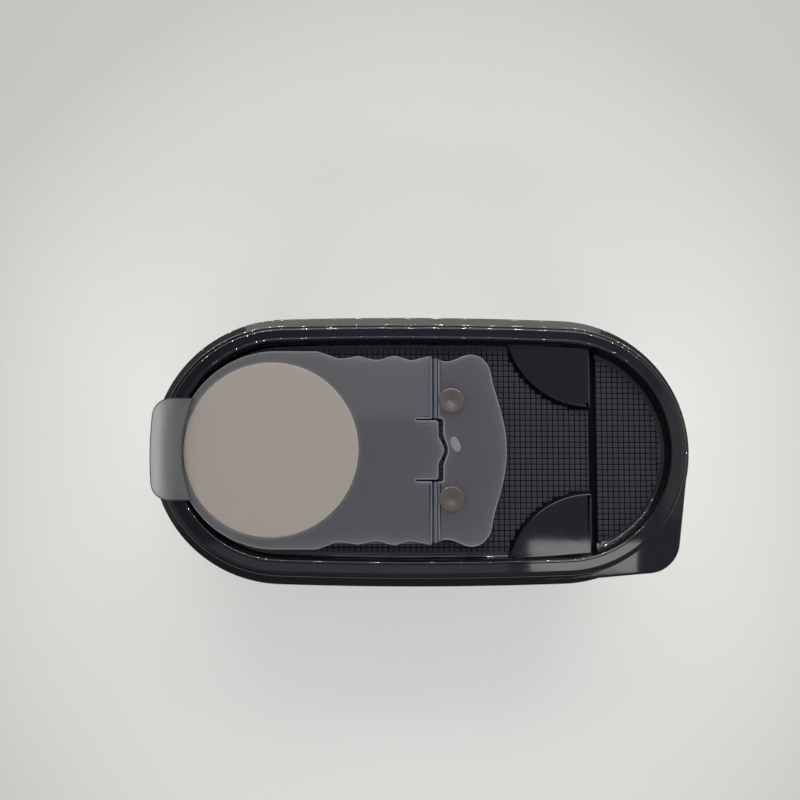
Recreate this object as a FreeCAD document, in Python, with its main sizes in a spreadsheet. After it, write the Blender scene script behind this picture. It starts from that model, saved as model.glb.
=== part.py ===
import FreeCAD, Part
import math
import os
import Sketcher

# Oval dry-food storage container with a push-on seal lid and a flip-up pour flap.
# Frame: millimetres, +Z up, origin at the centre of the underside, on the plane it stands on.
# +X runs along the length, towards the corner with the lift tab; the pour hole is on the -X half.

V = FreeCAD.Vector
doc = FreeCAD.newDocument("pantry_container")

# ---------------------------------------------------------------- driving dimensions
sheet = doc.addObject("Spreadsheet::Sheet", "Dim")
values = [
    # plan oval of the lid's lip: four tangent arcs, all other ovals are inward offsets of it
    ("half_length", 97.5), ("half_width", 48.5), ("end_radius", 47.6), ("lip_out", 0.5),
    # levels
    ("rim_top", 112.0), ("skirt_depth", 11.0), ("lip_thick", 1.5), ("recess_depth", 5.6),
    ("floor_thick", 1.5), ("ceiling_thick", 1.6), ("bead_height", 0.25),
    # inward offsets of the lid's ovals
    ("skirt_out", 3.2), ("step_out", 4.6), ("step_drop", 1.1), ("skirt_in", 5.4), ("recess_block", 8.0), ("recess_edge", 9.0),
    ("recess_draft", 12.0), ("rim_round", 0.7), ("step_round", 0.8), ("lip_round", 1.3), ("bead_out", 8.1),
    # tub
    ("tub_height", 110.3), ("tub_wall", 1.4), ("tub_floor", 1.8), ("tub_top_out", 6.1),
    ("tub_draft", 1.6), ("tub_base_round", 5.0),
    # pour hole and plug
    ("hole_x", -54.1), ("hole_radius", 29.45), ("collar_wall", 1.5), ("collar_top", 109.1),
    ("plug_radius", 31.1), ("plug_flange", 0.8), ("plug_proud", 0.1), ("plug_depth", 6.6),
    ("plug_skirt_top", 29.2), ("plug_skirt_low", 28.5), ("plug_skirt_wall", 1.2),
    # flap
    ("flap_top", 111.0), ("flap_thick", 1.6), ("lobe_x", -52.4), ("lobe_radius", 35.1),
    ("hinge_x", 4.0), ("hinge_half_gap", 1.15), ("web_thick", 0.4), ("web_drop", 0.4),
    ("web_clear", 0.1), ("web_end", 32.2), ("slit_out", 11.2), ("slit_in", 10.5),
    ("slit_start", -2.9), ("tongue_end", 5.2), ("nib_end", 7.2), ("nib_half", 2.6),
    ("notch_x", 7.0), ("nib_notch_x", 8.6), ("nib_notch_half", 3.6),
    # finger tab of the flap
    ("tab_end", 95.8), ("tab_half", 18.0), ("tab_round", 7.0), ("tab_under", 112.45),
    ("tab_thick", 1.4), ("tab_bulge", 0.5), ("riser_inner", 31.35),
    # lift tab of the lid
    ("lift_x", 97.9), ("lift_corner_x", 92.6), ("lift_corner_y", 43.5), ("lift_start_x", 44.0),
    ("lift_start_y", 47.7), ("lift_round", 12.0),
    # studs
    ("stud_x", 9.9), ("stud_y", 17.5), ("stud_head", 4.6), ("stud_brim", 0.55), ("stud_dish", 0.2), ("stud_crown", 3.9),
    ("stud_shank", 2.0), ("stud_bore", 2.05), ("boss_radius", 5.4), ("stud_barb", 2.6),
    ("barb_height", 1.0), ("tip_drop", 2.3),
    # fins and groove in the recess
    ("fin_x", 59.95), ("fin_y", 46.3), ("fin_radius", 30.9), ("fin_height", 2.2),
    ("fin_wall_a", 39.1), ("fin_wall_b", 37.1),
    ("groove_start", 60.0), ("groove_width", 2.4), ("groove_depth", 0.7),
]
for row, (alias, value) in enumerate(values, start=1):
    sheet.set("A%d" % row, alias)
    sheet.set("B%d" % row, str(value))
    sheet.setAlias("B%d" % row, alias)
doc.recompute()
D = {alias: value for alias, value in values}


def ex(text):
    """An expression with every alias looked up in the sheet."""
    out, word = "", ""
    for ch in text + " ":
        if ch.isalnum() or ch == "_":
            word += ch
        else:
            out += ("Dim." + word) if word in D else word
            out += ch
            word = ""
    return out.strip()


def val(text):
    """The same expression worked out as a number, for a sketch's first shape."""
    return eval_number(text)


def eval_number(text):
    tokens = []
    word = ""
    for ch in text + " ":
        if ch.isalnum() or ch in "_.":
            word += ch
        else:
            if word:
                tokens.append(D[word] if word in D else float(word))
                word = ""
            if ch in "+-*/()":
                tokens.append(ch)

    def expr(i):
        v, i = term(i)
        while i < len(tokens) and tokens[i] in ("+", "-"):
            o = tokens[i]
            w, i = term(i + 1)
            v = v + w if o == "+" else v - w
        return v, i

    def term(i):
        v, i = factor(i)
        while i < len(tokens) and tokens[i] in ("*", "/"):
            o = tokens[i]
            w, i = factor(i + 1)
            v = v * w if o == "*" else v / w
        return v, i

    def factor(i):
        t = tokens[i]
        if t == "-":
            v, i = factor(i + 1)
            return -v, i
        if t == "(":
            v, i = expr(i + 1)
            return v, i + 1
        return t, i + 1

    return expr(0)[0]


def new_body(name):
    body = doc.addObject("PartDesign::Body", name)
    body.Label = name
    return body


def plane(body, role):
    for feature in body.Origin.OriginFeatures:
        if feature.Role == role:
            return feature
    raise RuntimeError(role)


def new_sketch(body, name, z=None, role="XY_Plane"):
    s = body.newObject("Sketcher::SketchObject", name)
    s.AttachmentSupport = [(plane(body, role), "")]
    s.MapMode = "FlatFace"
    if z is not None:
        s.AttachmentOffset = FreeCAD.Placement(V(0, 0, val(z)), FreeCAD.Rotation())
        s.setExpression("AttachmentOffset.Base.z", ex(z))
    return s


END_C = "(half_length - end_radius)"


def side_radius():
    """Radius of the long sides' arcs, tangent to the end arcs."""
    b = "half_width"
    return ("((" + END_C + " * " + END_C + " + " + b + " * " + b + " - end_radius * end_radius)"
            " / (2 * (" + b + " - end_radius)))")


SIDE_R = side_radius()


def oval(body, name, z, inset):
    """Four tangent arcs, offset inward by inset from the lid's outline."""
    s = new_sketch(body, name, z)
    c = val(END_C)
    radius = SIDE_R
    r1 = val(radius)
    d = val(inset)
    drop = r1 - val("half_width")
    a = math.atan2(drop, c)
    re, rs = val("end_radius") - d, r1 - d
    up = V(0, 0, 1)
    s.addGeometry(Part.ArcOfCircle(Part.Circle(V(c, 0, 0), up, re), -a, a), False)
    s.addGeometry(Part.ArcOfCircle(Part.Circle(V(0, -drop, 0), up, rs), a, math.pi - a), False)
    s.addGeometry(Part.ArcOfCircle(Part.Circle(V(-c, 0, 0), up, re), math.pi - a, math.pi + a), False)
    s.addGeometry(Part.ArcOfCircle(Part.Circle(V(0, drop, 0), up, rs), math.pi + a, 2 * math.pi - a), False)
    for i in range(4):
        s.addConstraint(Sketcher.Constraint("Tangent", i, 2, (i + 1) % 4, 1))
    s.addConstraint(Sketcher.Constraint("PointOnObject", 0, 3, -1))
    s.addConstraint(Sketcher.Constraint("PointOnObject", 1, 3, -2))
    s.addConstraint(Sketcher.Constraint("PointOnObject", 3, 3, -2))
    k = s.addConstraint(Sketcher.Constraint("DistanceX", -1, 1, 0, 3, c))
    s.setExpression("Constraints[%d]" % k, ex(END_C))
    k = s.addConstraint(Sketcher.Constraint("Radius", 0, re))
    s.setExpression("Constraints[%d]" % k, ex("end_radius - (" + inset + ")"))
    s.addConstraint(Sketcher.Constraint("Equal", 0, 2))
    k = s.addConstraint(Sketcher.Constraint("Radius", 1, rs))
    s.setExpression("Constraints[%d]" % k, ex(radius + " - (" + inset + ")"))
    s.addConstraint(Sketcher.Constraint("Equal", 1, 3))
    return s


def circle(body, name, z, x, y, r):
    s = new_sketch(body, name, z)
    g = s.addGeometry(Part.Circle(V(val(x), val(y), 0), V(0, 0, 1), val(r)), False)
    k = s.addConstraint(Sketcher.Constraint("Radius", g, val(r)))
    s.setExpression("Constraints[%d]" % k, ex(r))
    kx = s.addConstraint(Sketcher.Constraint("DistanceX", -1, 1, g, 3, val(x)))
    s.setExpression("Constraints[%d]" % kx, ex(x))
    if abs(val(y)) < 1e-9:
        s.addConstraint(Sketcher.Constraint("PointOnObject", g, 3, -1))
    else:
        ky = s.addConstraint(Sketcher.Constraint("DistanceY", -1, 1, g, 3, val(y)))
        s.setExpression("Constraints[%d]" % ky, ex(y))
    return s


def polygon(body, name, z, points):
    """A closed outline of straight edges; each corner is (x, y) as expressions."""
    s = new_sketch(body, name, z)
    pts = [(val(x), val(y)) for x, y in points]
    n = len(pts)
    for i in range(n):
        p, q = pts[i], pts[(i + 1) % n]
        s.addGeometry(Part.LineSegment(V(p[0], p[1], 0), V(q[0], q[1], 0)), False)
    for i in range(n):
        s.addConstraint(Sketcher.Constraint("Coincident", i, 2, (i + 1) % n, 1))
    for i, (x, y) in enumerate(points):
        if abs(pts[i][0]) < 1e-9:
            s.addConstraint(Sketcher.Constraint("PointOnObject", i, 1, -2))
        else:
            k = s.addConstraint(Sketcher.Constraint("DistanceX", -1, 1, i, 1, pts[i][0]))
            s.setExpression("Constraints[%d]" % k, ex(x))
        if abs(pts[i][1]) < 1e-9:
            s.addConstraint(Sketcher.Constraint("PointOnObject", i, 1, -1))
        else:
            k = s.addConstraint(Sketcher.Constraint("DistanceY", -1, 1, i, 1, pts[i][1]))
            s.setExpression("Constraints[%d]" % k, ex(y))
    return s


def pad(body, name, sketch, length, taper=None, down=False):
    f = body.newObject("PartDesign::Pad", name)
    f.Profile = sketch
    f.Length = val(length)
    f.setExpression("Length", ex(length))
    if taper is not None:
        f.TaperAngle = val(taper)
        f.setExpression("TaperAngle", ex(taper))
    f.Reversed = down
    doc.recompute()
    return f


def pocket(body, name, sketch, length, taper=None, down=True):
    """A pocket cuts against the sketch's normal, so down=True cuts towards -Z."""
    before = body.Shape.Volume
    f = body.newObject("PartDesign::Pocket", name)
    f.Profile = sketch
    f.Length = val(length)
    f.setExpression("Length", ex(length))
    if taper is not None:
        f.TaperAngle = val(taper)
        f.setExpression("TaperAngle", ex(taper))
    f.Reversed = not down
    doc.recompute()
    if not body.Shape.Volume < before - 1e-3:
        raise RuntimeError(name + " cuts nothing")
    return f


def edges_where(shape, test):
    return ["Edge%d" % (i + 1) for i, e in enumerate(shape.Edges) if test(e)]


def level(e, z, tol=1e-4):
    b = e.BoundBox
    return abs(b.ZMin - z) < tol and abs(b.ZMax - z) < tol


def fillet(body, name, base, names, radius):
    f = body.newObject("PartDesign::Fillet", name)
    f.Base = (base, names)
    f.Radius = val(radius)
    f.setExpression("Radius", ex(radius))
    doc.recompute()
    return f


def inset_of(e):
    """How far inside the lip's oval the middle of an edge lies."""
    u = (e.FirstParameter + e.LastParameter) / 2
    p = e.valueAt(u)
    c, r1 = val(END_C), val(SIDE_R)
    drop = r1 - val("half_width")
    t = math.atan2(drop, c)
    x, y = abs(p.x), abs(p.y)
    if math.atan2(y, x - c) < t:
        return val("end_radius") - math.hypot(x - c, y)
    return r1 - math.hypot(x, y + drop)


# ---------------------------------------------------------------- tub
# A tall racetrack tub of natural plastic. Its plain top edge goes up into the lid's channel.
tub = new_body("container_tub")
base_inset = "(tub_top_out + 3.081)"
s = oval(tub, "tub_base_outline", "0", base_inset)
p_tub = pad(tub, "tub_wall_outside", s, "tub_height", "tub_draft")
f_tub = fillet(tub, "tub_base_edge", p_tub, edges_where(p_tub.Shape, lambda e: level(e, 0.0)), "tub_base_round")
s = oval(tub, "tub_mouth_outline", "tub_height", "tub_top_out + tub_wall")
h_tub = pocket(tub, "tub_inside", s, "tub_height - tub_floor", "-tub_draft")
inside_round = val("tub_base_round") - val("tub_wall")
f2_tub = fillet(tub, "tub_inside_edge", h_tub,
                edges_where(h_tub.Shape, lambda e: level(e, val("tub_floor"))), "tub_base_round - tub_wall")

# ---------------------------------------------------------------- lid
# Black push-on lid: flared lip, skirt, rounded rim over the tub's edge, recessed floor.
lid = new_body("lid_shell")
s = oval(lid, "lip_outline", "rim_top - skirt_depth", "0 - lip_out")
pad(lid, "lip", s, "lip_thick")
# lift tab at one corner, level with the lip
s = polygon(lid, "lift_tab_outline", "rim_top - skirt_depth", [
    ("lift_x", "-0.5"), ("lift_corner_x", "-lift_corner_y"), ("lift_start_x", "-lift_start_y"),
    ("lift_start_x", "-38"), ("80", "-0.5")])
p_lift = pad(lid, "lift_tab", s, "lip_thick")


def upright(e, x, y, tol=0.05):
    """A vertical edge that stands at x, y."""
    b = e.BoundBox
    return (b.ZMax - b.ZMin > 0.5 and abs(b.XMin - x) < tol and abs(b.XMax - x) < tol
            and abs(b.YMin - y) < tol and abs(b.YMax - y) < tol)


f_lift = fillet(lid, "lift_tab_corner", p_lift,
                edges_where(p_lift.Shape, lambda e: upright(e, val("lift_corner_x"), -val("lift_corner_y"))),
                "lift_round")
s = oval(lid, "skirt_outline", "rim_top - skirt_depth", "skirt_out")
pad(lid, "skirt", s, "skirt_depth - step_drop")
s = oval(lid, "rim_outline", "rim_top - skirt_depth", "step_out")
p_skirt = pad(lid, "rim", s, "skirt_depth")
f_rim = fillet(lid, "rim_outer_edge", p_skirt,
               edges_where(p_skirt.Shape, lambda e: level(e, val("rim_top"))), "rim_round")
f_step = fillet(lid, "rim_step_edge", f_rim,
                edges_where(f_rim.Shape, lambda e: level(e, val("rim_top - step_drop"))
                            and abs(inset_of(e) - val("skirt_out")) < 0.01), "step_round")
z_lip = val("rim_top - skirt_depth + lip_thick")
f_lip = fillet(lid, "skirt_root", f_step,
               edges_where(f_step.Shape, lambda e: level(e, z_lip) and abs(inset_of(e) - val("skirt_out")) < 0.01),
               "lip_round")
s = oval(lid, "skirt_inside", "rim_top - skirt_depth", "skirt_in")
pocket(lid, "skirt_hollow", s, "skirt_depth - ceiling_thick", down=False)
s = oval(lid, "recess_block_outline", "rim_top - recess_depth - floor_thick", "recess_block")
pad(lid, "recess_block_solid", s, "recess_depth + floor_thick")
# a low bead on the rim's inner edge
s = oval(lid, "bead_outline", "rim_top", "bead_out")
pad(lid, "rim_bead", s, "bead_height")
s = oval(lid, "recess_outline", "rim_top + bead_height", "recess_edge")
pocket(lid, "recess", s, "recess_depth + bead_height", "-recess_draft")
# collar round the pour hole
s = circle(lid, "collar_outline", "rim_top - recess_depth - floor_thick", "hole_x", "0", "hole_radius + collar_wall")
pad(lid, "collar", s, "collar_top - rim_top + recess_depth + floor_thick")
s = circle(lid, "pour_hole_outline", "collar_top", "hole_x", "0", "hole_radius")
pocket(lid, "pour_hole", s, "collar_top - rim_top + recess_depth + floor_thick + 1")
# two bosses that the flap's anchor plate stands on, bored for the studs
for tag, y in (("a", "stud_y"), ("b", "-stud_y")):
    s = circle(lid, "boss_outline_" + tag, "rim_top - recess_depth - 0.5", "stud_x", y, "boss_radius")
    pad(lid, "boss_" + tag, s, "flap_top - flap_thick - rim_top + recess_depth + 0.5")
    s = circle(lid, "bore_outline_" + tag, "flap_top - flap_thick", "stud_x", y, "stud_bore")
    pocket(lid, "stud_bore_" + tag, s, "flap_top - flap_thick - rim_top + recess_depth + floor_thick + 1")
# two fins, quarter discs that run into the recess wall
for tag, sign in (("a", 1), ("b", -1)):
    s = new_sketch(lid, "fin_outline_" + tag, "rim_top - recess_depth - 0.5")
    fx, fy, fr = val("fin_x"), sign * val("fin_y"), val("fin_radius")
    wall_y, wall_y2 = sign * val("fin_wall_a"), sign * val("fin_wall_b")
    dx = math.sqrt(fr * fr - (fy - wall_y) ** 2)
    p1, p2, p3 = V(fx - dx, wall_y, 0), V(fx, wall_y2, 0), V(fx, fy - sign * fr, 0)
    ang = math.radians(225 if sign > 0 else 135)
    pm = V(fx + fr * math.cos(ang), fy + fr * math.sin(ang), 0)
    s.addGeometry(Part.LineSegment(p1, p2), False)
    s.addGeometry(Part.LineSegment(p2, p3), False)
    s.addGeometry(Part.Arc(p3, pm, p1), False)
    for i in range(3):
        s.addConstraint(Sketcher.Constraint("Block", i))
    pad(lid, "fin_" + tag, s, "fin_height + 0.5")
# the groove across the recess beside the fins
s = polygon(lid, "groove_outline", "rim_top - recess_depth", [
    ("groove_start", "-36.2"), ("groove_start + groove_width", "-35.8"),
    ("groove_start + groove_width", "35.8"), ("groove_start", "36.2")])
pocket(lid, "groove", s, "groove_depth")


# ---------------------------------------------------------------- flap outline
# Upper half of the flap from its straight edge on the -X side to its nose on the +X side.
LEFT_EDGE = [(-38.2, 35.1), (-36.0, 34.5), (-33.2, 33.5), (-30.5, 32.6), (-27.3, 32.8), (-23.2, 33.4),
             (-20.2, 32.7), (-17.4, 32.2), (-15.1, 32.4), (-12.4, 33.3), (-10.1, 33.6), (-7.6, 32.9),
             (-4.6, 32.1), (-1.1, 32.8), (1.4, 33.4), (2.85, 33.35)]
RIGHT_EDGE = [(5.15, 32.5), (6.6, 31.9), (8.3, 31.7), (11.3, 32.4), (14.3, 33.7), (17.3, 34.2),
              (20.3, 33.3), (22.8, 30.8), (24.2, 27.3), (24.9, 23.4), (26.4, 18.4), (27.8, 13.3),
              (28.9, 8.3), (29.5, 3.4), (29.6, 0.0)]


def spline(points):
    b = Part.BSplineCurve()
    b.interpolate([V(x, y, 0) for x, y in points])
    return b


# ---------------------------------------------------------------- flap door
door = new_body("flap_door")
s = new_sketch(door, "door_outline", "flap_top - flap_thick")
lx, lr = val("lobe_x"), val("lobe_radius")
hx = val("hinge_x - hinge_half_gap")
s.addGeometry(Part.ArcOfCircle(Part.Circle(V(lx, 0, 0), V(0, 0, 1), lr), math.pi / 2, 3 * math.pi / 2), False)
s.addGeometry(Part.LineSegment(V(lx, lr, 0), V(LEFT_EDGE[0][0], lr, 0)), False)
s.addGeometry(spline(LEFT_EDGE), False)
s.addGeometry(Part.LineSegment(V(hx, LEFT_EDGE[-1][1], 0), V(hx, -LEFT_EDGE[-1][1], 0)), False)
s.addGeometry(spline([(x, -y) for x, y in reversed(LEFT_EDGE)]), False)
s.addGeometry(Part.LineSegment(V(LEFT_EDGE[0][0], -lr, 0), V(lx, -lr, 0)), False)
doc.recompute()
pad(door, "door_plate", s, "flap_thick")
# the tongue between the two slits reaches past the fold line, with a nib at its middle
s = polygon(door, "tongue_outline", "flap_top - flap_thick", [
    ("slit_start", "-slit_in"), ("tongue_end", "-slit_in"), ("tongue_end", "-nib_half"),
    ("nib_end", "-nib_half + 0.9"), ("nib_end", "nib_half - 0.9"), ("tongue_end", "nib_half"),
    ("tongue_end", "slit_in"), ("slit_start", "slit_in")])
pad(door, "tongue", s, "flap_thick")
for tag, sign in (("a", ""), ("b", "-")):
    s = polygon(door, "slit_outline_" + tag, "flap_top", [
        ("slit_start", sign + "slit_in"), ("hinge_x", sign + "slit_in"),
        ("hinge_x", sign + "slit_out"), ("slit_start", sign + "slit_out")])
    pocket(door, "slit_" + tag, s, "flap_thick")
# riser and finger tab: a curved wall on the lobe's edge carries the tab over the rim and a little
# past the lip; both stop at a circle just outside the plug
te, th, tr, tb = val("tab_end"), val("tab_half"), val("tab_round"), val("tab_bulge")
px, ri = val("hole_x"), val("riser_inner")


def inner_arc():
    xi = px - math.sqrt(ri * ri - th * th)
    return xi, Part.Arc(V(xi, -th, 0), V(px - ri, 0, 0), V(xi, th, 0))


xi, arc = inner_arc()
xo = lx - math.sqrt(lr * lr - th * th)
s = new_sketch(door, "riser_outline", "flap_top - 0.4")
for g in (arc, Part.LineSegment(V(xi, th, 0), V(xo, th, 0)),
          Part.Arc(V(xo, th, 0), V(lx - lr, 0, 0), V(xo, -th, 0)),
          Part.LineSegment(V(xo, -th, 0), V(xi, -th, 0))):
    s.addGeometry(g, False)
for i in range(4):
    s.addConstraint(Sketcher.Constraint("Block", i))
pad(door, "tab_riser", s, "tab_under - flap_top + 0.4 + tab_thick")
s = new_sketch(door, "tab_outline", "tab_under")
q = tr * (1 - math.sqrt(0.5))
xi, arc = inner_arc()
for g in (arc, Part.LineSegment(V(xi, th, 0), V(tr - te, th, 0)),
          Part.Arc(V(tr - te, th, 0), V(q - te, th - q, 0), V(-te, th - tr, 0)),
          Part.Arc(V(-te, th - tr, 0), V(-te - tb, 0, 0), V(-te, tr - th, 0)),
          Part.Arc(V(-te, tr - th, 0), V(q - te, q - th, 0), V(tr - te, -th, 0)),
          Part.LineSegment(V(tr - te, -th, 0), V(xi, -th, 0))):
    s.addGeometry(g, False)
for i in range(6):
    s.addConstraint(Sketcher.Constraint("Block", i))
pad(door, "finger_tab", s, "tab_thick")
# seat and hole for the plug
s = circle(door, "plug_seat_outline", "flap_top", "hole_x", "0", "plug_radius")
pocket(door, "plug_seat", s, "plug_flange - plug_proud")
s = circle(door, "plug_hole_outline", "flap_top", "hole_x", "0", "plug_skirt_top + 0.1")
pocket(door, "plug_hole", s, "flap_thick")

# ---------------------------------------------------------------- flap anchor plate
anchor = new_body("flap_anchor")
s = new_sketch(anchor, "anchor_outline", "flap_top - flap_thick")
ax = val("hinge_x + hinge_half_gap")
so, nx, nnx, nh = val("slit_out"), val("notch_x"), val("nib_notch_x"), val("nib_notch_half")
edge = RIGHT_EDGE[:-1]
full = edge + [(RIGHT_EDGE[-1][0], 0.0)] + [(x, -y) for x, y in reversed(edge)]
s.addGeometry(spline(full), False)
corner = [V(ax, -RIGHT_EDGE[0][1], 0), V(ax, -so, 0), V(nx, -so, 0), V(nx, -nh, 0), V(nnx, -(nh - 1.0), 0),
          V(nnx, nh - 1.0, 0), V(nx, nh, 0), V(nx, so, 0), V(ax, so, 0), V(ax, RIGHT_EDGE[0][1], 0)]
for p, q in zip(corner, corner[1:]):
    s.addGeometry(Part.LineSegment(p, q), False)
doc.recompute()
pad(anchor, "anchor_plate", s, "flap_thick")
for tag, y in (("a", "stud_y"), ("b", "-stud_y")):
    s = circle(anchor, "anchor_hole_outline_" + tag, "flap_top", "stud_x", y, "stud_bore")
    pocket(anchor, "anchor_hole_" + tag, s, "flap_thick")

# ---------------------------------------------------------------- hinge web
# Two thin strips in the fold line, one each side of the tongue.
web_a = doc.addObject("Part::Box", "hinge_strip_a")
web_b = doc.addObject("Part::Box", "hinge_strip_b")
for strip in (web_a, web_b):
    strip.setExpression("Length", ex("2 * hinge_half_gap - web_clear"))
    strip.setExpression("Width", ex("web_end - slit_out"))
    strip.setExpression("Height", ex("web_thick"))
    strip.setExpression("Placement.Base.x", ex("hinge_x - hinge_half_gap + web_clear"))
    strip.setExpression("Placement.Base.z", ex("flap_top - web_drop - web_thick"))
web_a.setExpression("Placement.Base.y", ex("slit_out"))
web_b.setExpression("Placement.Base.y", ex("-web_end"))
web = doc.addObject("Part::Compound", "living_hinge_web")
web.Links = [web_a, web_b]
web.Label = "living_hinge_web"

# ---------------------------------------------------------------- plug
# A round insert in the flap: a thin disc seen on top and a skirt that enters the pour hole.
plug = new_body("pour_plug")
s = new_sketch(plug, "plug_profile", role="XZ_Plane")
zt = "flap_top + plug_proud"
prof = [("0", zt), ("plug_radius", zt), ("plug_radius", zt + " - plug_flange"),
        ("plug_skirt_top", zt + " - plug_flange"),
        ("plug_skirt_low", zt + " - plug_flange - plug_depth"),
        ("plug_skirt_low - plug_skirt_wall", zt + " - plug_flange - plug_depth"),
        ("plug_skirt_top - plug_skirt_wall", zt + " - plug_flange - 0.4"),
        ("0", zt + " - plug_flange - 0.4")]
pts = [(val(x), val(z)) for x, z in prof]
for i in range(len(pts)):
    p, q = pts[i], pts[(i + 1) % len(pts)]
    s.addGeometry(Part.LineSegment(V(p[0], p[1], 0), V(q[0], q[1], 0)), False)
for i in range(len(pts)):
    s.addConstraint(Sketcher.Constraint("Coincident", i, 2, (i + 1) % len(pts), 1))
for i, (x, z) in enumerate(prof):
    if pts[i][0] < 1e-9:
        s.addConstraint(Sketcher.Constraint("PointOnObject", i, 1, -2))
    else:
        k = s.addConstraint(Sketcher.Constraint("DistanceX", -1, 1, i, 1, pts[i][0]))
        s.setExpression("Constraints[%d]" % k, ex(x))
    k = s.addConstraint(Sketcher.Constraint("DistanceY", -1, 1, i, 1, pts[i][1]))
    s.setExpression("Constraints[%d]" % k, ex(z))
r = plug.newObject("PartDesign::Revolution", "plug_turned")
r.Profile = s
r.ReferenceAxis = (s, ["V_Axis"])
r.Angle = 360
plug.Placement = FreeCAD.Placement(V(val("hole_x"), 0, 0), FreeCAD.Rotation())
plug.setExpression("Placement.Base.x", ex("hole_x"))

# ---------------------------------------------------------------- studs
# Two snap studs hold the anchor plate on the lid's bosses: dished head, shank, barb under the lid.
hr, hh, sr, br = val("stud_head"), val("stud_brim"), val("stud_shank"), val("stud_barb")
dish, crown = val("stud_dish"), val("stud_crown")
z0, z_under = val("flap_top"), val("rim_top - recess_depth - floor_thick")
z_tip = z_under - val("tip_drop")
z_barb = z_under - 0.1
brim = 0.25
rise = hh - dish
dish_r = (crown * crown + rise * rise) / (2 * rise)
mid = crown / 2
z_mid = z0 + dish + (dish_r - math.sqrt(dish_r ** 2 - mid ** 2))
line = [V(0, z0 + dish, 0), V(crown, z0 + hh, 0), V(hr, z0 + brim, 0), V(hr, z0, 0), V(sr, z0, 0), V(sr, z_barb, 0),
        V(br, z_barb, 0), V(br, z_barb - 0.5, 0), V(sr - 0.5, z_tip, 0), V(0, z_tip, 0)]
pieces = []
for tag, sign in (("a", ""), ("b", "-")):
    stud = new_body("stud_" + tag)
    s = new_sketch(stud, "stud_profile_" + tag, role="XZ_Plane")
    s.addGeometry(Part.Arc(line[0], V(mid, z_mid, 0), line[1]), False)
    for p, q in zip(line[1:], line[2:]):
        s.addGeometry(Part.LineSegment(p, q), False)
    s.addGeometry(Part.LineSegment(line[-1], line[0]), False)
    for i in range(len(line)):
        s.addConstraint(Sketcher.Constraint("Block", i))
    r = stud.newObject("PartDesign::Revolution", "stud_turned_" + tag)
    r.Profile = s
    r.ReferenceAxis = (s, ["V_Axis"])
    r.Angle = 360
    stud.setExpression("Placement.Base.x", ex("stud_x"))
    stud.setExpression("Placement.Base.y", ex(sign + "stud_y"))
    pieces.append(stud)
doc.recompute()
studs = doc.addObject("Part::Compound", "anchor_studs")
studs.Links = pieces
studs.Label = "anchor_studs"

doc.recompute()

# ---------------------------------------------------------------- check and write
subparts = [tub, lid, door, anchor, web, plug, studs]
for o in doc.Objects:
    if "Invalid" in o.State or "Error" in o.State:
        raise RuntimeError("%s: %s" % (o.Name, o.State))
os.makedirs("parts", exist_ok=True)
for o in subparts:
    shape = o.Shape
    if shape.isNull() or not shape.isValid() or not shape.Solids:
        raise RuntimeError(o.Label + " has no valid shape")
    if len(shape.Solids) != (2 if o in (web, studs) else 1):
        raise RuntimeError("%s has %d solids" % (o.Label, len(shape.Solids)))
    b = shape.BoundBox
    print("%-18s %d solid(s) %9.1f mm3  x %.2f %.2f  y %.2f %.2f  z %.2f %.2f" % (
        o.Label, len(shape.Solids), shape.Volume, b.XMin, b.XMax, b.YMin, b.YMax, b.ZMin, b.ZMax))
for o in subparts:
    o.Shape.exportStep("parts/" + o.Label + ".step")
print("wrote", len(subparts), "parts")
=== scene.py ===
import math

import bmesh
import bpy
import numpy as np
from mathutils import Matrix, Vector
from mathutils.geometry import tessellate_polygon


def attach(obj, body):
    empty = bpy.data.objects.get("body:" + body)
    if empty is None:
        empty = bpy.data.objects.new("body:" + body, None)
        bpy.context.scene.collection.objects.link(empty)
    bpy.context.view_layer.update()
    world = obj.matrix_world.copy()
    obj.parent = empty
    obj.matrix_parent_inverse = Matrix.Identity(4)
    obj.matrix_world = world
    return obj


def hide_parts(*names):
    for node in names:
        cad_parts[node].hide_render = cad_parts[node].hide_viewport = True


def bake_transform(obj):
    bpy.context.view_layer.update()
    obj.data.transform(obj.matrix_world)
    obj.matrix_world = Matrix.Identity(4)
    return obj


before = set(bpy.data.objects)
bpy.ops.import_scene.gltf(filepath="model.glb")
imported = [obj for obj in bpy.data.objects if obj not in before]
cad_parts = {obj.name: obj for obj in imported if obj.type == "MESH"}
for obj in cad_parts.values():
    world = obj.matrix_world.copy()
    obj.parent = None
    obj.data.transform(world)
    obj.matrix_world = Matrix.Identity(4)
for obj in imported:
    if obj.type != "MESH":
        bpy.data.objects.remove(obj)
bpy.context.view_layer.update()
MM = 0.001

# ------------------------------------------------------------------ sizes, in millimetres, as the frame has them
A, B, RE = 97.5, 48.5, 47.6          # oval of the lid: half length, half width, end radius
RIM, FLOOR, UNDER, LIP = 112.0, 106.4, 104.9, 101.0
HOLE_X, HOLE_R, COLLAR_R, COLLAR_TOP = -54.1, 29.45, 30.95, 109.1
PLUG_R = 31.1
FLAP_TOP, FLAP_LOW = 111.0, 109.4
LOBE_X, LOBE_R = -52.4, 35.1
HINGE_X = 4.0
STUD_X, STUD_Y = 9.9, 17.5


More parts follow.
